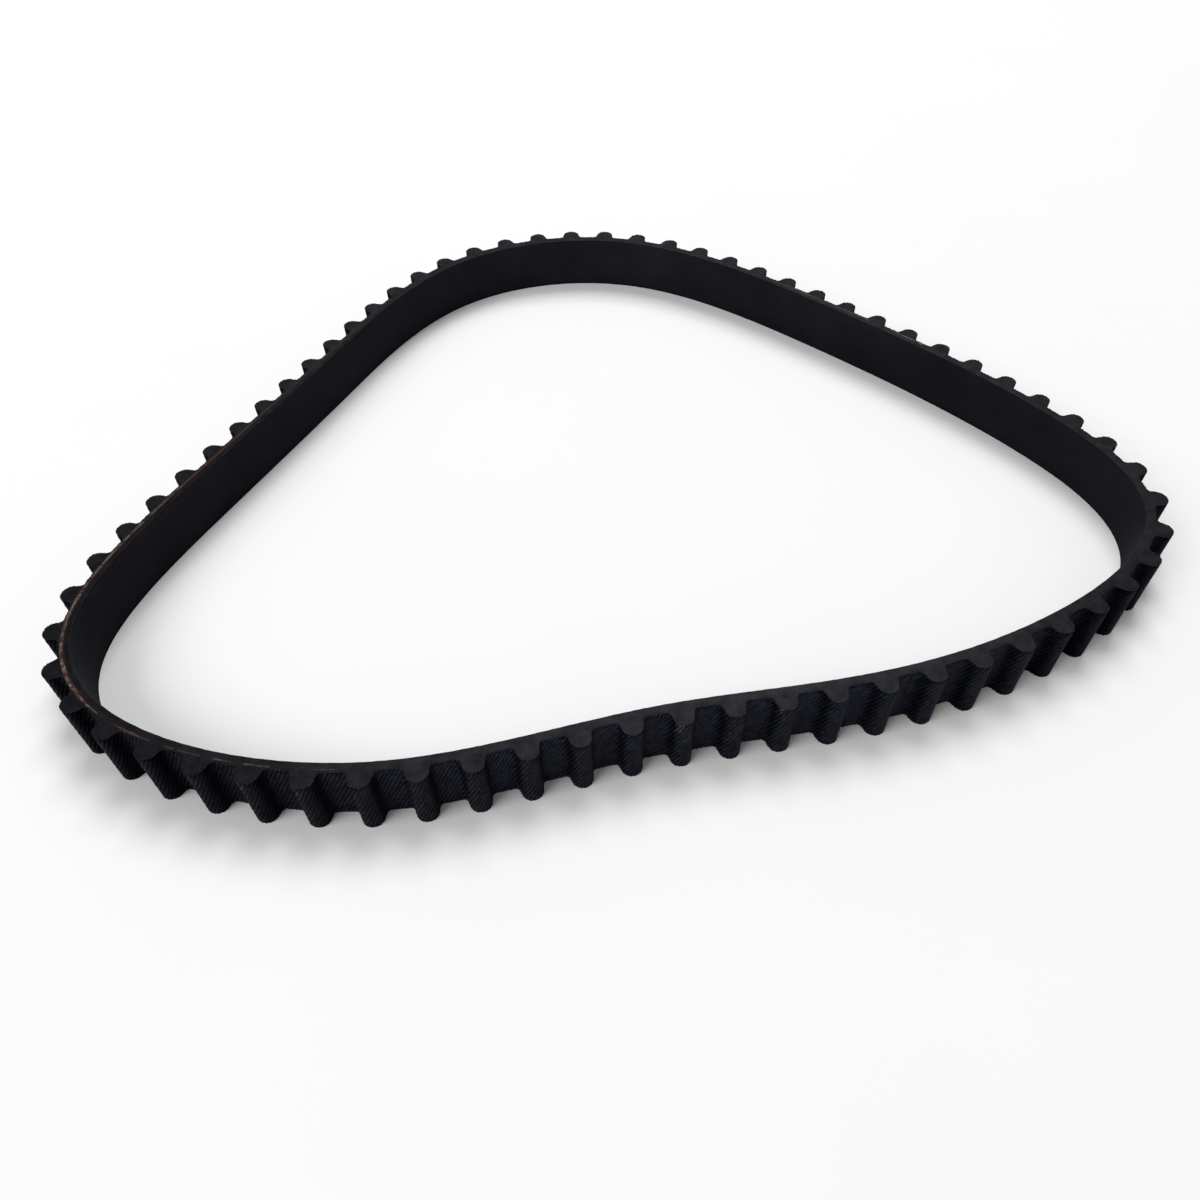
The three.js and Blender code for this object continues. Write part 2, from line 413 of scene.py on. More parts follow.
class Finish:
    """One material's nodes, added and linked in short calls."""

    def __init__(self, name, roughness, gloss, tint=(1.0, 1.0, 1.0)):
        self.material = bpy.data.materials.new(name)
        self.material.use_nodes = True
        self.tree = self.material.node_tree
        self.surface = self.tree.nodes["Principled BSDF"]
        self.set(self.surface, "Roughness", roughness)
        self.set(self.surface, "Specular IOR Level", gloss)
        self.set(self.surface, "Specular Tint", tint)

    def set(self, node, socket, value):
        target = node.inputs[socket]
        if isinstance(value, bpy.types.NodeSocket):
            self.tree.links.new(value, target)
        elif isinstance(value, tuple) and len(value) == 3 and target.type == "RGBA":
            target.default_value = (*value, 1)
        else:
            target.default_value = value

    def node(self, kind, settings=(), **sockets):
        made = self.tree.nodes.new("ShaderNode" + kind)
        for key, value in dict(settings).items():
            setattr(made, key, value)
        for socket, value in sockets.items():
            self.set(made, socket.replace("_", " "), value)
        return made

    def math(self, operation, first, second=0.0):
        made = self.node("Math", {"operation": operation})
        self.set(made, 0, first)
        self.set(made, 1, second)
        return made.outputs[0]

    def strip(self):
        """The strip map's two coordinates."""
        made = self.node("UVMap", {"uv_map": "strip"})
        split = self.node("SeparateXYZ", Vector=made.outputs[0])
        return split.outputs[0], split.outputs[1]

    def in_mm(self):
        """The place in the frame, in millimetres."""
        made = self.node("TexCoord")
        scaled = self.node("VectorMath", {"operation": "SCALE"}, Vector=made.outputs["Object"])
        scaled.inputs["Scale"].default_value = 1 / MM
        return scaled.outputs[0]

    def point_share(self, name):
        """A share that the mesh holds for each of its points."""
        return self.node("Attribute", {"attribute_name": name}).outputs["Fac"]

    def join(self, x, y):
        return self.node("CombineXYZ", X=x, Y=y).outputs[0]

    def noise(self, vector, scale, detail=3.0, roughness=0.55):
        made = self.node("TexNoise", Vector=vector, Scale=scale, Detail=detail, Roughness=roughness)
        return made.outputs[0]

    def spread(self, value, low, high, to_low=0.0, to_high=1.0):
        """Eases from to_low to to_high as the value goes from low to high."""
        made = self.node("MapRange", {"clamp": True, "interpolation_type": "SMOOTHSTEP"})
        for socket, number in enumerate((value, low, high, to_low, to_high)):
            self.set(made, socket, number)
        return made.outputs[0]

    def mix(self, share, first, second, blend="MIX"):
        made = self.node("Mix", {"data_type": "RGBA", "blend_type": blend})
        self.set(made, 0, share)
        self.set(made, 6, first)
        self.set(made, 7, second)
        return made.outputs[2]

    def scaled(self, colour, share):
        """A colour made darker or brighter by a share."""
        grey = self.node("CombineColor", Red=share, Green=share, Blue=share).outputs[0]
        return self.mix(1.0, colour, grey, "MULTIPLY")

    def bump(self, height, distance, strength=1.0, normal=None):
        made = self.node("Bump", Height=height, Distance=distance * MM, Strength=strength)
        if normal is not None:
            self.set(made, "Normal", normal)
        return made.outputs[0]

    def done(self, colour, normal=None, roughness=None, gloss=None):
        """Links what varies to the surface and gives the material."""
        self.set(self.surface, "Base Color", colour)
        if normal is not None:
            self.set(self.surface, "Normal", normal)
        if roughness is not None:
            self.set(self.surface, "Roughness", roughness)
        if gloss is not None:
            self.set(self.surface, "Specular IOR Level", gloss)
        return self.material


def twill_finish():
    """Black nylon twill: rounded ribs of short floats, with painted shade in the grooves between
    them. The flanks of the teeth carry painted shade, so that the crests and the lands between the
    teeth are paler than the flanks, with painted light and shade along the belt, and here and there
    a spot of painted highlight lies on the ridges."""
    f = Finish("nylon_twill", 0.6, 0.07, NYLON_TINT)
    place = f.in_mm()
    rib, z = f.strip()
    inside = f.math("FRACT", rib)
    off_middle = f.math("ABSOLUTE", f.math("SUBTRACT", f.math("MULTIPLY", inside, 2.0), 1.0))
    ridge = f.math("SUBTRACT", 1.0, f.math("POWER", off_middle, 2.0))
    rib_number = f.math("FLOOR", rib)
    stagger = f.math("MULTIPLY", rib_number, FLOAT_STAGGER)
    floats = f.math("ADD", f.math("DIVIDE", z, FLOAT_SPACING), stagger)
    turn = f.math("MULTIPLY", floats, math.pi)
    bulge = f.math("POWER", f.math("ABSOLUTE", f.math("SINE", turn)), 0.6)
    height = f.math("MULTIPLY", ridge, f.math("ADD", f.math("MULTIPLY", bulge, 0.6), 0.4))

    pair = f.join(rib_number, f.math("FLOOR", f.math("DIVIDE", floats, 2.0)))
    each = f.node("TexWhiteNoise", {"noise_dimensions": "2D"}, Vector=pair).outputs[0]
    matted = f.spread(f.noise(place, 1.3, 3.0, 0.7), 0.4, 0.62)
    patches = f.noise(place, 0.16, 4.0)
    blotches = f.spread(f.noise(place, 0.9, 3.0, 0.65), 0.35, 0.65)
    fibres = f.noise(place, 6.0, 2.0)

    # Painted shade: the twill is darker on the flanks of the teeth than on the crests and the
    # lands, as the valleys between them lie in shade, and a share for each point adds painted light
    # and shade along the belt.
    lean = f.math("MULTIPLY", z, RIB_LEAN_COLUMNS / BELT_WIDTH / COLUMNS_PER_RIB)
    pitches = f.math("DIVIDE", f.math("ADD", rib, lean), RIB_COUNT / TOOTH_COUNT)
    off_crest = f.math("ABSOLUTE", f.math("SUBTRACT", f.math("FRACT", pitches), 0.5))
    on_tooth = f.spread(off_crest, 0.07, 0.21, 0.88, 0.43)
    on_land = f.spread(off_crest, 0.23, 0.42, 0.0, 0.8)
    painted_shading = f.math("MULTIPLY", f.math("ADD", on_tooth, on_land), f.point_share("painted_shading"))

    # Painted shade in the grooves: the pale colour shows on the ridges of the ribs and floats, the
    # dark one between them
    shown = f.math("SUBTRACT", 1.0, f.math("MULTIPLY", matted, 0.75))
    shown = f.math("MULTIPLY", f.spread(height, 0.15, 0.95), shown)
    shown = f.math("ADD", shown, f.math("MULTIPLY", matted, 0.4))
    colour = f.mix(shown, *TWILL)
    tone = f.math("ADD", f.math("MULTIPLY", each, 1.5), f.math("MULTIPLY", fibres, 0.3))
    tone = f.math("ADD", tone, f.math("MULTIPLY", patches, 0.25))
    tone = f.math("ADD", tone, f.math("MULTIPLY", blotches, 0.3))
    colour = f.scaled(colour, f.math("MULTIPLY", painted_shading, tone))

    # Painted highlight: pale spots on the ridges, where each point's share is high
    spot = f.math("MULTIPLY", f.point_share("twill_highlight"), f.spread(blotches, 0.3, 0.8))
    spot = f.math("MULTIPLY", spot, f.spread(height, 0.3, 0.8))
    colour = f.mix(spot, colour, TWILL_HIGHLIGHT_COLOUR)
    normal = f.bump(fibres, 0.02, 0.5, f.bump(height, 0.07, 0.8))
    shine = f.math("MULTIPLY", painted_shading, f.spread(height, 0.1, 0.9, 0.015, 0.095))
    return f.done(colour, normal, gloss=shine)


def twill_edge_finish():
    """The cut edge of the twill, where the ends of its yarns show as pale and dark specks."""
    f = Finish("nylon_twill_cut_edge", 0.7, 0.08, NYLON_TINT)
    place = f.in_mm()
    ends = f.noise(place, 3.2, 2.0, 0.6)
    runs = f.noise(place, 0.5, 2.0)
    share = f.math("MULTIPLY", f.spread(ends, 0.45, 0.72), f.spread(runs, 0.35, 0.65, 0.25, 1.0))
    return f.done(f.mix(share, *CUT_YARN), f.bump(ends, 0.05))


def cut_rubber_finish(name, colours, gloss):
    """Rubber cut by a knife as the belt turned: fine marks along the belt, specks of filler, and
    the brown coating of the cords smeared over them, with painted light and shade along the belt."""
    f = Finish(name, 0.5, gloss, RUBBER_TINT)
    along, height = f.strip()
    place = f.in_mm()
    drawn = f.join(f.math("MULTIPLY", along, 0.25), f.math("MULTIPLY", height, 7.0))
    marks = f.noise(drawn, 1.0, 3.0, 0.6)
    grain = f.noise(place, 4.0, 3.0, 0.65)
    patches = f.noise(place, 0.4, 4.0, 0.65)
    share = f.math("ADD", f.math("MULTIPLY", marks, 0.25), f.math("MULTIPLY", grain, 0.3))
    share = f.math("ADD", share, f.math("MULTIPLY", patches, 0.45))
    specks = f.spread(f.noise(place, 5.0, 1.0), 0.7, 0.77)
    # Painted light and shade along the belt, which scale the colour and the gloss
    painted_light = f.point_share("painted_light")
    colour = f.mix(f.spread(share, 0.38, 0.62), *colours)
    colour = f.scaled(f.mix(f.math("MULTIPLY", specks, 0.45), colour, FILLER_SPECK), painted_light)
    off_cords = f.math("ABSOLUTE", f.math("SUBTRACT", height, CORD_HEIGHT))
    broken = f.spread(f.noise(place, 0.5, 3.0, 0.65), 0.25, 0.6, 0.4, 1.0)
    smear = f.math("MULTIPLY", f.spread(off_cords, 0.3, 0.65, 0.9, 0.0), f.point_share("smeared"))
    smear = f.math("MULTIPLY", smear, broken)
    colour = f.mix(smear, colour, COATING_SMEAR)
    normal = f.bump(grain, 0.02, 0.7, f.bump(marks, 0.015, 0.8))
    shine = f.math("MULTIPLY", f.spread(share, 0.38, 0.62, 0.7 * gloss, 1.3 * gloss), painted_light)
    return f.done(colour, normal, f.spread(grain, 0.2, 0.8, 0.42, 0.62), shine)


def back_finish():
    """The belt's ground back: matt, with a fine grain drawn out along the belt, a painted highlight
    in places a little below its upper edge, and painted light and shade along the belt."""
    f = Finish("ground_back_rubber", 0.72, 0.035, RUBBER_TINT)
    along, across = f.strip()
    place = f.in_mm()
    drawn = f.join(f.math("MULTIPLY", along, 0.8), f.math("MULTIPLY", across, 5.0))
    grind = f.noise(drawn, 1.0, 4.0, 0.65)
    grain = f.noise(place, 5.0, 3.0)
    patches = f.noise(place, 0.06, 4.0)
    share = f.math("ADD", f.math("MULTIPLY", grind, 0.4), f.math("MULTIPLY", patches, 0.6))
    colour = f.mix(f.spread(share, 0.3, 0.7), *GROUND_BACK)
    # Painted highlight: a pale band a little below the back's upper edge, strong where each point's
    # share is high
    off_back_highlight = f.math("ABSOLUTE", f.math("SUBTRACT", across, BELT_WIDTH - BACK_HIGHLIGHT_DEPTH))
    broken = f.spread(f.noise(place, 0.12, 3.0, 0.6), 0.35, 0.6, 0.3, 1.0)
    back_highlight = f.math("MULTIPLY", f.spread(off_back_highlight, 0.2, 1.2, 0.55, 0.0), f.point_share("back_highlight"))
    back_highlight = f.math("MULTIPLY", back_highlight, broken)
    colour = f.mix(back_highlight, colour, BACK_HIGHLIGHT_COLOUR)
    # Painted light and shade along the belt
    colour = f.scaled(colour, f.point_share("painted_light"))
    normal = f.bump(grain, 0.012, 0.7, f.bump(grind, 0.014, 0.8))
    return f.done(colour, normal)


def cord_finish():
    """Glass cord in a copper-brown coating. Where the upper edge of the belt slices it, pale
    filaments show in flecks. It is dull where the slice begins, and past the exit it is reddish
    and then golden."""
    f = Finish("coated_glass_cord", 0.6, 0.08)
    place = f.in_mm()
    along, round_it = f.strip()
    past_exit = f.math("SUBTRACT", along, CORD_CLIMB + CORD_REACH)
    turn = f.math("ADD", f.math("MULTIPLY", along, 1.26), f.math("MULTIPLY", round_it, 7.5))
    twist = f.math("SINE", turn)
    drawn = f.join(f.math("MULTIPLY", along, 0.8), f.math("MULTIPLY", round_it, 6.0))
    filaments = f.noise(drawn, 1.0, 3.0, 0.6)
    tone = f.math("ADD", f.math("MULTIPLY", filaments, 0.85), f.math("MULTIPLY", twist, 0.1))
    coating = f.mix(f.spread(tone, 0.2, 0.65), *CORD_COATING)

    mottled = f.noise(place, 0.9, 3.0, 0.7)
    glass = f.mix(f.spread(mottled, 0.4, 0.6), *SLICED_GLASS)
    near_exit = f.spread(f.math("ABSOLUTE", past_exit), 12, 40, 0.9, 0.1)
    flecks = f.spread(f.noise(place, 0.6, 3.0, 0.75), 0.52, 0.64)
    glass = f.mix(f.math("MULTIPLY", flecks, near_exit), glass, PALE_FILAMENTS)
    glass = f.mix(f.spread(past_exit, -70, -30, 0.85, 0.0), glass, DULL_GLASS)
    golden = f.spread(past_exit, 26, 38, 0.0, 0.8)
    golden = f.math("MULTIPLY", golden, f.spread(mottled, 0.4, 0.6, 1.0, 0.5))
    glass = f.mix(golden, glass, GOLDEN_GLASS)
    reddish = f.math("MULTIPLY", f.spread(past_exit, 14, 22), f.spread(past_exit, 32, 42, 0.6, 0.0))
    glass = f.mix(reddish, glass, REDDISH_GLASS)

    facing_up = f.node("SeparateXYZ", Vector=f.node("NewGeometry").outputs["Normal"]).outputs[2]
    sliced = f.math("MULTIPLY", f.spread(facing_up, 0.75, 0.95), 0.9)
    return f.done(f.mix(sliced, coating, glass), f.bump(filaments, 0.05))


def thread_finish():
    """Loose ends of nylon yarn. The longest are pale, where the dye has not reached."""
    f = Finish("loose_nylon_yarn", 0.5, 0.2)
    paleness = f.strip()[0]
    tone = f.spread(f.noise(f.in_mm(), 2.5, 2.0), 0.3, 0.7, 0.5, 1.0)
    return f.done(f.mix(f.math("MULTIPLY", tone, paleness), *LOOSE_YARN))


def floor_finish():
    """A pale, nearly even floor."""
    f = Finish("pale_floor", 0.8, 0.1)
    tone = f.noise(f.in_mm(), 0.02, 3.0)
    return f.done(f.mix(tone, *PALE_FLOOR))


# --- The belt's pieces ---------------------------------------------------------------------------

def ring_solid(name, along, faces, rows, panels, materials, edge_z, relief, painted_light):
    """A layer of the belt. faces are the heights of its outer and inner face along the loop. The
    cut faces between them stand edge_z off the belt's width, and relief lifts the inner face.
    rows are the numbers of bands on the outer, cut and inner faces, and panels their shares of
    the folded map. The section runs up the outer face, in over the upper cut, down the inner face
    and out under the lower cut. painted_light is the painted light and shade on the cut faces and
    on the other faces along the belt."""
    outer, inner = faces
    outer_rows, cut_rows, inner_rows = rows
    count = len(along)
    step = PITCH_LENGTH / count
    grid = Grid(name)
    teeth = along / TOOTH_PITCH

    def face(row_count, panel, slot, height_at, z_at, across_at):
        low, high = panel
        for i in range(row_count):
            share = i / row_count
            after = (i + 1) / row_count
            grid.row(points_at(along, height_at(share), z_at(share)))
            start = strip_row(across_at(share), count, step)
            end = strip_row(across_at(after), count, step)
            here = (low + (high - low) * share, low + (high - low) * after)
            grid.band(start, end, here, slot)

    def between(first, last):
        return lambda share: first + (last - first) * share

    def at_cut(share):
        """A face's first row lies on the cut, and stands off the belt's width with it."""
        return edge_z(along) if share == 0 else 0

    face(outer_rows, panels[0], 0, lambda share: outer,
         lambda share: BELT_WIDTH * share - at_cut(share), between(0, BELT_WIDTH))
    face(cut_rows, panels[1], 1, between(outer, inner),
         lambda share: BELT_WIDTH + edge_z(along), between(outer, inner))
    face(inner_rows, panels[2], 0, lambda share: inner + relief(along, share),
         lambda share: BELT_WIDTH * (1 - share) + at_cut(share), between(BELT_WIDTH, 0))
    face(cut_rows, panels[3], 1, between(inner, outer),
         lambda share: -edge_z(along), between(inner, outer))
    piece = grid.build(LAYER_FOLDS, materials)
    piece.data.set_sharp_from_angle(angle=SHARP_ANGLE)
    # Painted light and shade along the belt, on the cut faces and on the other faces
    on_cut, on_face = (np.interp(teeth, PAINTED_LIGHT_TEETH, shares) for shares in painted_light)
    cut_shares = [on_cut] * cut_rows
    row_shares = [on_face] * outer_rows + cut_shares + [on_face] * inner_rows + cut_shares
    set_shares(piece, "painted_light", np.concatenate(row_shares))
    smeared = np.interp(teeth, SMEAR_TEETH, SMEAR_SHARES)
    set_shares(piece, "smeared", np.tile(smeared, len(grid.rows)))
    return piece


def knife_cut():
    """How far the cut faces stand off the belt's width: a slow wander of the knife, and a fine
    grain."""
    size = 0.018
    grain = 0.2 * size
    slow = wander(spacing=14, size=size)

    def at(along):
        return slow(along) + random.normal(0, grain, len(along))

    return at


def backing(materials, edge_z):
    """The smooth back, with its inner edges left a little ragged by the knife."""
    columns = 1572
    along = np.arange(columns) * PITCH_LENGTH / columns
    faces = (np.full(columns, SEAM_HEIGHT), np.full(columns, BACK_HEIGHT))
    ragged = wander(spacing=0.8, size=0.03)
    slow = wander(spacing=30, size=0.012)

    def relief(along, share):
        return slow(along) + (ragged(along) if share == 0 else 0)

    panels = ((0.94, 0.96), (0.0, 0.1), (0.13, 0.8), (0.83, 0.93))
    piece = ring_solid("backing_rubber", along, faces, (1, 4, 13), panels, materials,
                       edge_z, relief, (BACK_CUT_SHARES, BACK_FACE_SHARES))
    # The share of the painted highlight on the back along the belt
    back_highlight = np.interp(along / TOOTH_PITCH, BACK_HIGHLIGHT_TEETH, BACK_HIGHLIGHT_SHARES)
    set_shares(piece, "back_highlight", np.tile(back_highlight, len(piece.data.vertices) // columns))
    return piece


def tooth_rubber(materials, edge_z):
    """The teeth and the lands between them, a hair's breadth clear of the twill."""
    clearance = 0.01
    along, outer = toothed_outline(FABRIC_THICKNESS + clearance)
    faces = (outer, np.full(len(along), SEAM_HEIGHT))
    panels = ((0.95, 0.97), (0.0, 0.46), (0.94, 0.95), (0.48, 0.93))
    return ring_solid("tooth_rubber_body", along, faces, (1, 6, 1), panels, materials,
                      edge_z, lambda along, share: 0.0, (TOOTH_CUT_SHARES, TOOTH_CUT_SHARES))


class DevelopedFace:
    """The toothed face rolled out flat. It turns a length along the fabric into a place on the
    belt."""

    STEPS = 1200

    def __init__(self, inset):
        profile = tooth_profile(inset)
        lengths = np.concatenate([[0], np.cumsum(np.hypot(*np.diff(profile, axis=0).T))])
        self.pitch = lengths[-1]
        self.places = np.linspace(0, self.pitch, self.STEPS + 1)
        self.along = np.interp(self.places, lengths, profile[:, 0])
        self.height = np.interp(self.places, lengths, profile[:, 1])
        self.normal_along = -np.gradient(self.height, self.places)
        self.normal_height = np.gradient(self.along, self.places)

    def points(self, share, lift, z):
        """share counts pitches of the belt, as a fraction of its developed length."""
        tooth = np.floor(share)
        place = (share - tooth) * self.pitch
        along, height, normal_along, normal_height = (
            np.interp(place, self.places, values)
            for values in (self.along, self.height, self.normal_along, self.normal_height)
        )
        return points_at(
            tooth * TOOTH_PITCH + along + normal_along * lift, height + normal_height * lift, z,
        )


def highlight_share(teeth, z):
    """How strong the painted highlight on the twill is at places given in teeth along the developed
    face. The spots are taller than they are long."""
    squeezed = 1.4
    twill_highlight = np.zeros(len(teeth))
    for tooth, height in HIGHLIGHT_SPOTS:
        off = (teeth - tooth + TOOTH_COUNT / 2) % TOOTH_COUNT - TOOTH_COUNT / 2
        reach = np.hypot(off * TOOTH_PITCH * squeezed, z - height) / HIGHLIGHT_SIZE
        twill_highlight = np.maximum(twill_highlight, np.exp(-reach ** 2))
    return twill_highlight


def facing(materials):
    """The twill, as one closed sheet whose outer face is modelled rib by rib. The ribs wander and
    swell a little, as the cloth was stretched over the teeth."""
    columns = RIB_COUNT * COLUMNS_PER_RIB
    per_pitch = columns / TOOTH_COUNT
    outer_face = DevelopedFace(0.0)
    inner_face = DevelopedFace(FABRIC_THICKNESS)
    index = np.arange(columns)
    along = index / columns * PITCH_LENGTH
    inside = (index % COLUMNS_PER_RIB) / COLUMNS_PER_RIB
    rib_shape = np.sqrt(1 - (2 * inside - 1) ** 2)
    drift_low = wander(spacing=4, size=0.9)
    drift_high = wander(spacing=4, size=0.9)
    slimmest = 0.45
    fullest = 1.2
    fuzz = 0.005
    grid = Grid("facing_twill")
    twill_highlight = []
    painted_shading = []
    bands = FABRIC_ROWS - 1
    step = 1 / COLUMNS_PER_RIB

    for i in range(FABRIC_ROWS):
        share = i / bands
        z = np.full(columns, BELT_WIDTH * share)
        drift = drift_low(along) * (1 - share) + drift_high(along) * share
        drift += wander(spacing=2.5, size=0.35)(along)
        if i in (0, bands):
            z += random.normal(0.02, 0.045, columns) * (1 if i else -1)
            drift = 0
        rib_size = np.repeat(random.uniform(slimmest, fullest, RIB_COUNT), COLUMNS_PER_RIB)
        lift = RIB_RELIEF * (rib_shape * rib_size - 1) + random.normal(0, fuzz, columns)
        place = index + RIB_LEAN_COLUMNS * share + drift
        grid.row(outer_face.points(place / per_pitch, lift, z))
        teeth = place / per_pitch - 0.5
        # The share of the painted highlight spots
        twill_highlight.append(highlight_share(teeth, z))
        # The share of painted light and shade along the belt
        painted_shading.append(np.interp(np.mod(teeth, TOOTH_COUNT), SHADING_TEETH, SHADING_SHARES))
        if i < bands:
            after = (i + 1) / bands
            panel = (0.16 + 0.8 * share, 0.16 + 0.8 * after)
            start = strip_row(BELT_WIDTH * share, columns, step)
            grid.band(start, strip_row(BELT_WIDTH * after, columns, step), panel)
    rim = (strip_row(0, columns, step), strip_row(FABRIC_THICKNESS, columns, step))
    grid.band(*rim, (0.0, 0.06), slot=1)
    top = BELT_WIDTH + random.normal(0.0, 0.02, columns)
    grid.row(inner_face.points((index + RIB_LEAN_COLUMNS) / per_pitch, 0.0, top))
    grid.band(*rim, (0.14, 0.145), slot=1, shift=RIB_LEAN_COLUMNS)
    grid.row(inner_face.points(index / per_pitch, 0.0, random.normal(0.0, 0.01, columns)))
    grid.band(*rim, (0.07, 0.13), slot=1)
    piece = grid.build(LAYER_FOLDS, materials)
    set_shares(piece, "twill_highlight", np.concatenate([*twill_highlight, np.zeros(2 * columns)]))
    set_shares(piece, "painted_shading", np.concatenate([*painted_shading, np.ones(2 * columns)]))
    return piece


def bare_share(along, stretches):
    """How much of a cord's width shows, from the stretches where it is bare."""
    rise_per_tooth = 2.4
    tooth = along / TOOTH_PITCH
    bare = np.zeros(len(along))
    for first, last, share in stretches:
        inside = np.clip(np.minimum(tooth - first, last - tooth) * rise_per_tooth, 0, 1)
        bare = np.maximum(bare, share * inside)
    return bare


def sliced(across, z, centre, plane, beyond, left, drag):
    """One side of a cord, cut off flat where it is beyond a plane. left is the share of the flat
    that stays open, and drag moves the flat outwards."""
    half = np.sqrt(np.clip(CORD_RADIUS ** 2 - (plane - centre) ** 2, 0, None)) * left
    return np.where(beyond, np.clip(across, -half, half) + drag, across), np.where(beyond, plane, z)


def cord(name, exit_tooth, stretches, hand, materials):
    """A twisted glass cord, wound as a helix of one lead for each turn. Each edge of the belt
    slices it where it crosses. The knife has dragged the sliced part outwards near the exit, and
    has left it bare in some stretches only."""
    sides = 12
    strands = 3
    strand_relief = 0.05
    lay = 5.0
    step = 0.8
    pulled_teeth = 3
    pulled_out = 0.12
    flat_dragged_out = 0.1
    stands_proud = 0.025
    least_bare = 0.02
    hidden_by = 0.1
    narrowest_cut = 0.15
    exit_along = exit_tooth * TOOTH_PITCH
    start = exit_along - CORD_CLIMB - CORD_REACH
    end = exit_along + CORD_REACH
    steps = round((end - start) / step)
    along = np.linspace(start, end, steps)
    centre = BELT_WIDTH + CORD_LEAD * (along - exit_along) / PITCH_LENGTH
    off_exit = (along - exit_along) / TOOTH_PITCH
    pulled = np.exp(-(off_exit / pulled_teeth) ** 2)
    sideways = CORD_HEIGHT + pulled_out * pulled + wander(spacing=18, size=0.025)(along)
    bare = bare_share(along, stretches) * (1 + wander(spacing=1.3, size=0.35)(along))
    upper = BELT_WIDTH + stands_proud + random.normal(0, 0.01, steps)
    upper = upper - hidden_by * (bare < least_bare)
    bare = np.maximum(bare, narrowest_cut)
    lower = -0.02 + random.normal(0, 0.008, steps)
    grid = Grid(name, closed=False)
    length = (along[-1] - along[0]) / (steps - 1)
    for side in range(sides):
        angle = -2 * math.pi * side / sides
        lobes = 1 + strand_relief * np.cos(strands * angle - hand * 2 * math.pi * along / lay)
        radius = CORD_RADIUS * lobes
        across = radius * math.sin(angle)
        z = centre + radius * math.cos(angle)
        drag = flat_dragged_out * pulled
        across, z = sliced(across, z, centre, upper, z > upper, bare, drag)
        across, z = sliced(across, z, centre, lower, z < lower, 1, 0)
        grid.row(points_at(along, across + sideways, z))
        panel = (0.02 + 0.96 * side / sides, 0.02 + 0.96 * (side + 1) / sides)
        round_here = 2 * math.pi * CORD_RADIUS * side / sides
        round_next = 2 * math.pi * CORD_RADIUS * (side + 1) / sides
        grid.band(
            strip_row(np.full(steps, round_here), steps, length)[:-1],
            strip_row(np.full(steps, round_next), steps, length)[:-1], panel,
        )
    return grid.build(CORD_FOLDS, materials, caps=True)


def filament(face, share, length, pale):
    """The middle line of a loose filament that starts at a share of the developed face, and the two
    directions across it. It leans and rises, and then curls over, further where it is pale."""
    joints = 6
    sunk = 0.05
    root, next_point = face.points(np.array([share, share + 0.01]), 0.0, BELT_WIDTH - sunk)
    ahead = (next_point - root) / np.linalg.norm(next_point - root)
    outwards = np.array([ahead[1], -ahead[0], 0])
    lean = ahead * random.uniform(-1, 1) + outwards * random.uniform(-0.2, 0.5)
    rise = np.array([0, 0, random.uniform(0.25, 0.6)])
    fall = random.uniform(1.2, 3.0 + 3.0 * pale)
    curl = -rise * fall + ahead * random.uniform(-0.6, 0.6)
    reach = length * random.uniform(0.5, 1)
    onwards = (lean + rise) / np.linalg.norm(lean + rise)
    across = np.cross(onwards, outwards)
    across /= np.linalg.norm(across)
    t = np.linspace(0, 1, joints)[:, None]
    middle = root + (lean + rise) * reach * t + curl * reach * t * t * 0.6
    return middle, across, np.cross(onwards, across)


def tapered_tube(middle, across, other, radius):
    """The points of a closed tube that tapers towards its tip, and its faces as lists of
    corners."""
    sides = 5
    tip_share = 0.4
    angles = 2 * math.pi * np.arange(sides)[:, None] / sides
    ring = across * np.cos(angles) + other * np.sin(angles)
    radii = radius * np.linspace(1, tip_share, len(middle))
    points = middle[:, None] + ring * radii[:, None, None]
    faces = []
    for here in range(0, (len(middle) - 1) * sides, sides):
        for side in range(sides):
            after = (side + 1) % sides
            faces.append([here + side, here + after, here + sides + after, here + sides + side])
    faces.append([side for side in reversed(range(sides))])
    faces.append([(len(middle) - 1) * sides + side for side in range(sides)])
    return points.reshape(-1, 3), faces


def loose_ends(materials):
    """Ends of yarn that the knife pulled from the twill's upper cut edge: tufts of fine
    filaments."""
    face = DevelopedFace(inset=0.05)
    small_tufts = 90
    shortest_small = 0.15
    longest_small = 0.5
    tuft_filaments = 4
    filament_spacing = 0.004
    radius = 0.028
    tufts = [(tooth + 0.5, length) for tooth, length in zip(LOOSE_END_TEETH, LOOSE_END_LENGTHS)]
    for _ in range(small_tufts):
        place = TOOTH_COUNT * random.random()
        tufts.append((place, random.uniform(shortest_small, longest_small)))
    points = []
    corners = []
    sizes = []
    paleness = []
    for share, length in tufts:
        pale = 1.0 if length > longest_small else random.random() ** 3
        for index in range(tuft_filaments):
            line = filament(face, share + filament_spacing * index, length, pale)
            tube_points, faces = tapered_tube(*line, radius)
            for face_corners in faces:
                corners.extend(len(points) + corner for corner in face_corners)
                paleness.extend([pale] * len(face_corners))
                sizes.append(len(face_corners))
            points.extend(tube_points)
    maps = {"strip": np.column_stack([paleness, paleness])}
    return make_mesh("loose_yarn_ends", np.array(points), np.array(corners), np.array(sizes),
                     np.zeros(len(sizes), int), maps, materials)


# --- Scene ---------------------------------------------------------------------------------------

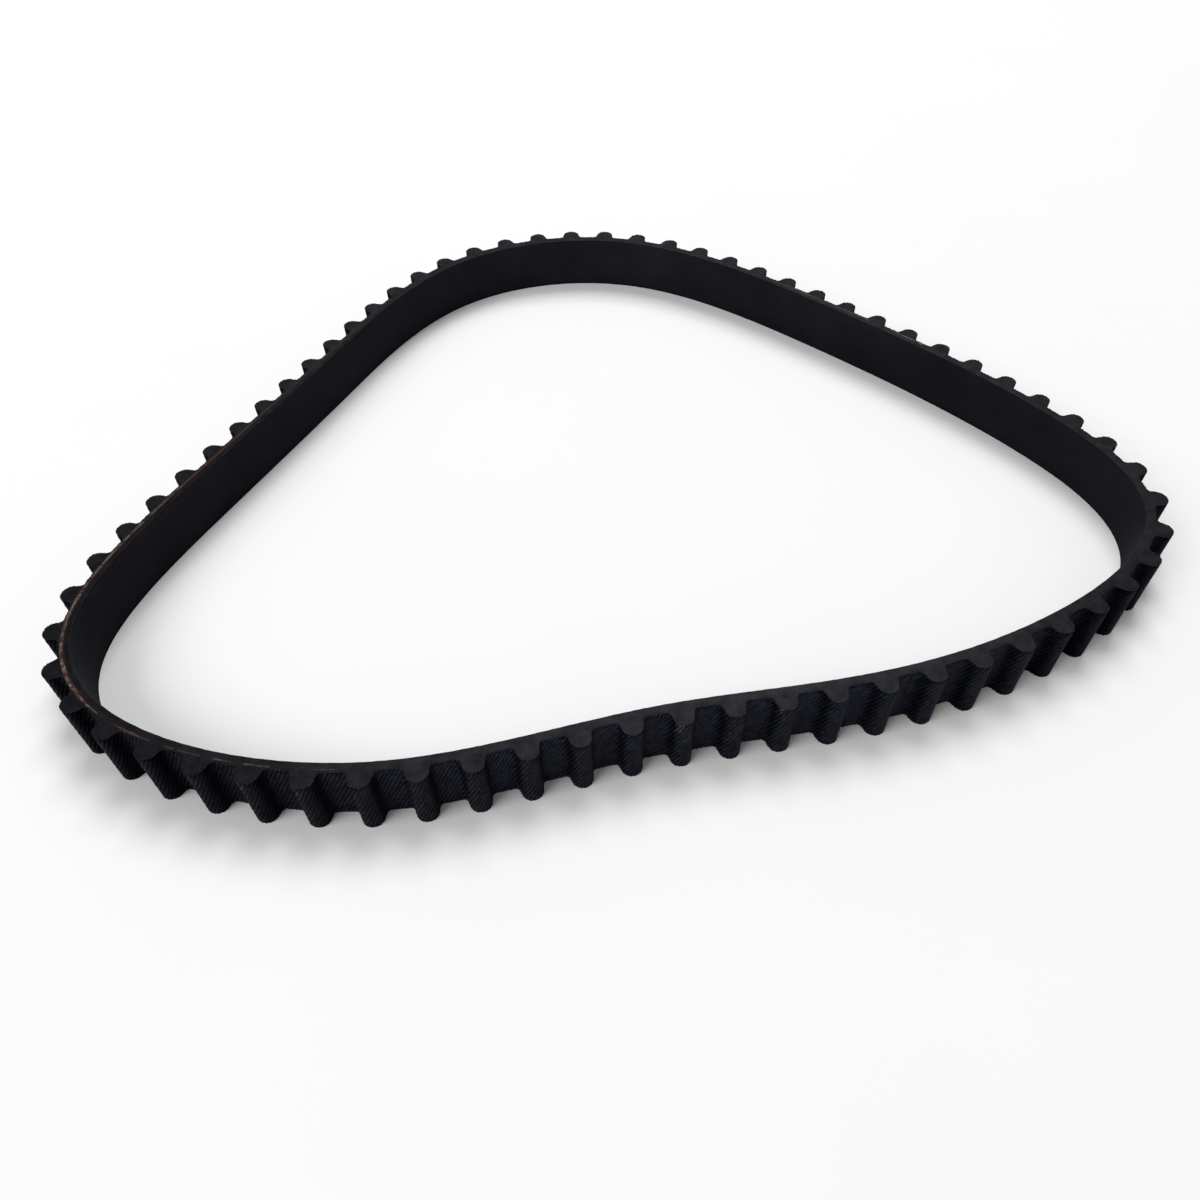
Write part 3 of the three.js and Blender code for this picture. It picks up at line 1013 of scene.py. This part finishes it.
def add_camera():
    """The camera that took the photograph: its axis meets the picture a little below the middle."""
    frame_pixels = 1200
    focal_pixels = 937.87
    axis_row = 687
    down = 0.904549
    roll = -0.020317
    position = np.array([-7.50, -180.96, 147.54]) * MM
    camera = bpy.data.cameras.new("camera")
    camera.sensor_width = 36
    camera.lens = camera.sensor_width * focal_pixels / frame_pixels
    camera.shift_y = (axis_row - frame_pixels / 2) / frame_pixels
    camera.clip_start = 0.01
    right = Vector((1, 0, 0))
    up = Vector((0, math.sin(down), math.cos(down)))
    forward = Vector((0, math.cos(down), -math.sin(down)))
    rolled_right = right * math.cos(roll) + up * math.sin(roll)
    rolled_up = up * math.cos(roll) - right * math.sin(roll)
    turn = Matrix((rolled_right, rolled_up, -forward)).transposed().to_4x4()
    shown = bpy.data.objects.new("camera", camera)
    shown.matrix_world = Matrix.Translation(position) @ turn
    bpy.context.collection.objects.link(shown)
    bpy.context.scene.camera = shown


def add_floor():
    """A floor just under the belt, so that no two faces lie in one plane."""
    reach = 3.0
    level = -0.00006
    mesh = bpy.data.meshes.new("floor")
    corners = [(-reach, -reach), (reach, -reach), (reach, reach), (-reach, reach)]
    mesh.from_pydata([(x, y, level) for x, y in corners], [], [(0, 1, 2, 3)])
    mesh.materials.append(floor_finish())
    floor = bpy.data.objects.new("floor", mesh)
    bpy.context.collection.objects.link(floor)


def add_area_light(name, azimuth, elevation, size, power):
    """A square light two metres from the belt, at a compass angle from +X towards +Y."""
    distance = 2.0
    light = bpy.data.lights.new(name, "AREA")
    light.shape = "SQUARE"
    light.size = size
    light.energy = power
    across = math.cos(math.radians(elevation))
    place = Vector((
        across * math.cos(math.radians(azimuth)),
        across * math.sin(math.radians(azimuth)),
        math.sin(math.radians(elevation)),
    )) * distance
    shown = bpy.data.objects.new(name, light)
    shown.location = place
    shown.rotation_euler = (-place).to_track_quat("-Z", "Y").to_euler()
    bpy.context.collection.objects.link(shown)


def add_lights():
    """An even pale room, a high key light behind the belt and a lower fill in front of it."""
    world = bpy.data.worlds.new("studio")
    world.use_nodes = True
    background = world.node_tree.nodes["Background"]
    background.inputs["Color"].default_value = (1, 1, 1, 1)
    background.inputs["Strength"].default_value = 0.3
    bpy.context.scene.world = world
    add_area_light("key", azimuth=80, elevation=59, size=1.0, power=24)
    add_area_light("fill", azimuth=216, elevation=43, size=1.2, power=18)
    bpy.context.scene.view_settings.view_transform = "Standard"


add_camera()

twill = [twill_finish(), twill_edge_finish()]
back = [back_finish(), cut_rubber_finish("cut_back_rubber", CUT_BACK, 0.11)]
cut_tooth = cut_rubber_finish("cut_tooth_rubber", CUT_TOOTH, 0.1)
tooth = [cut_tooth, cut_tooth]
copper = [cord_finish()]
yarn = [thread_finish()]

knife = knife_cut()

piece = backing(back, knife)
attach(piece, "root")
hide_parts("backing")

piece = tooth_rubber(tooth, knife)
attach(piece, "root")
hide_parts("tooth_rubber")

for name, node, exit_tooth, stretches, hand in (
    ("cord_s_twist", "tension_cord_s", FIRST_CORD_EXIT_TOOTH, FIRST_CORD_BARE, 1),
    ("cord_z_twist", "tension_cord_z", SECOND_CORD_EXIT_TOOTH, SECOND_CORD_BARE, -1),
):
    piece = cord(name, exit_tooth, stretches, hand, copper)
    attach(piece, "root")
    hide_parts(node)

piece = facing(twill)
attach(piece, "root")
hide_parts("facing_fabric")

piece = loose_ends(yarn)
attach(piece, "root")

add_floor()
add_lights()
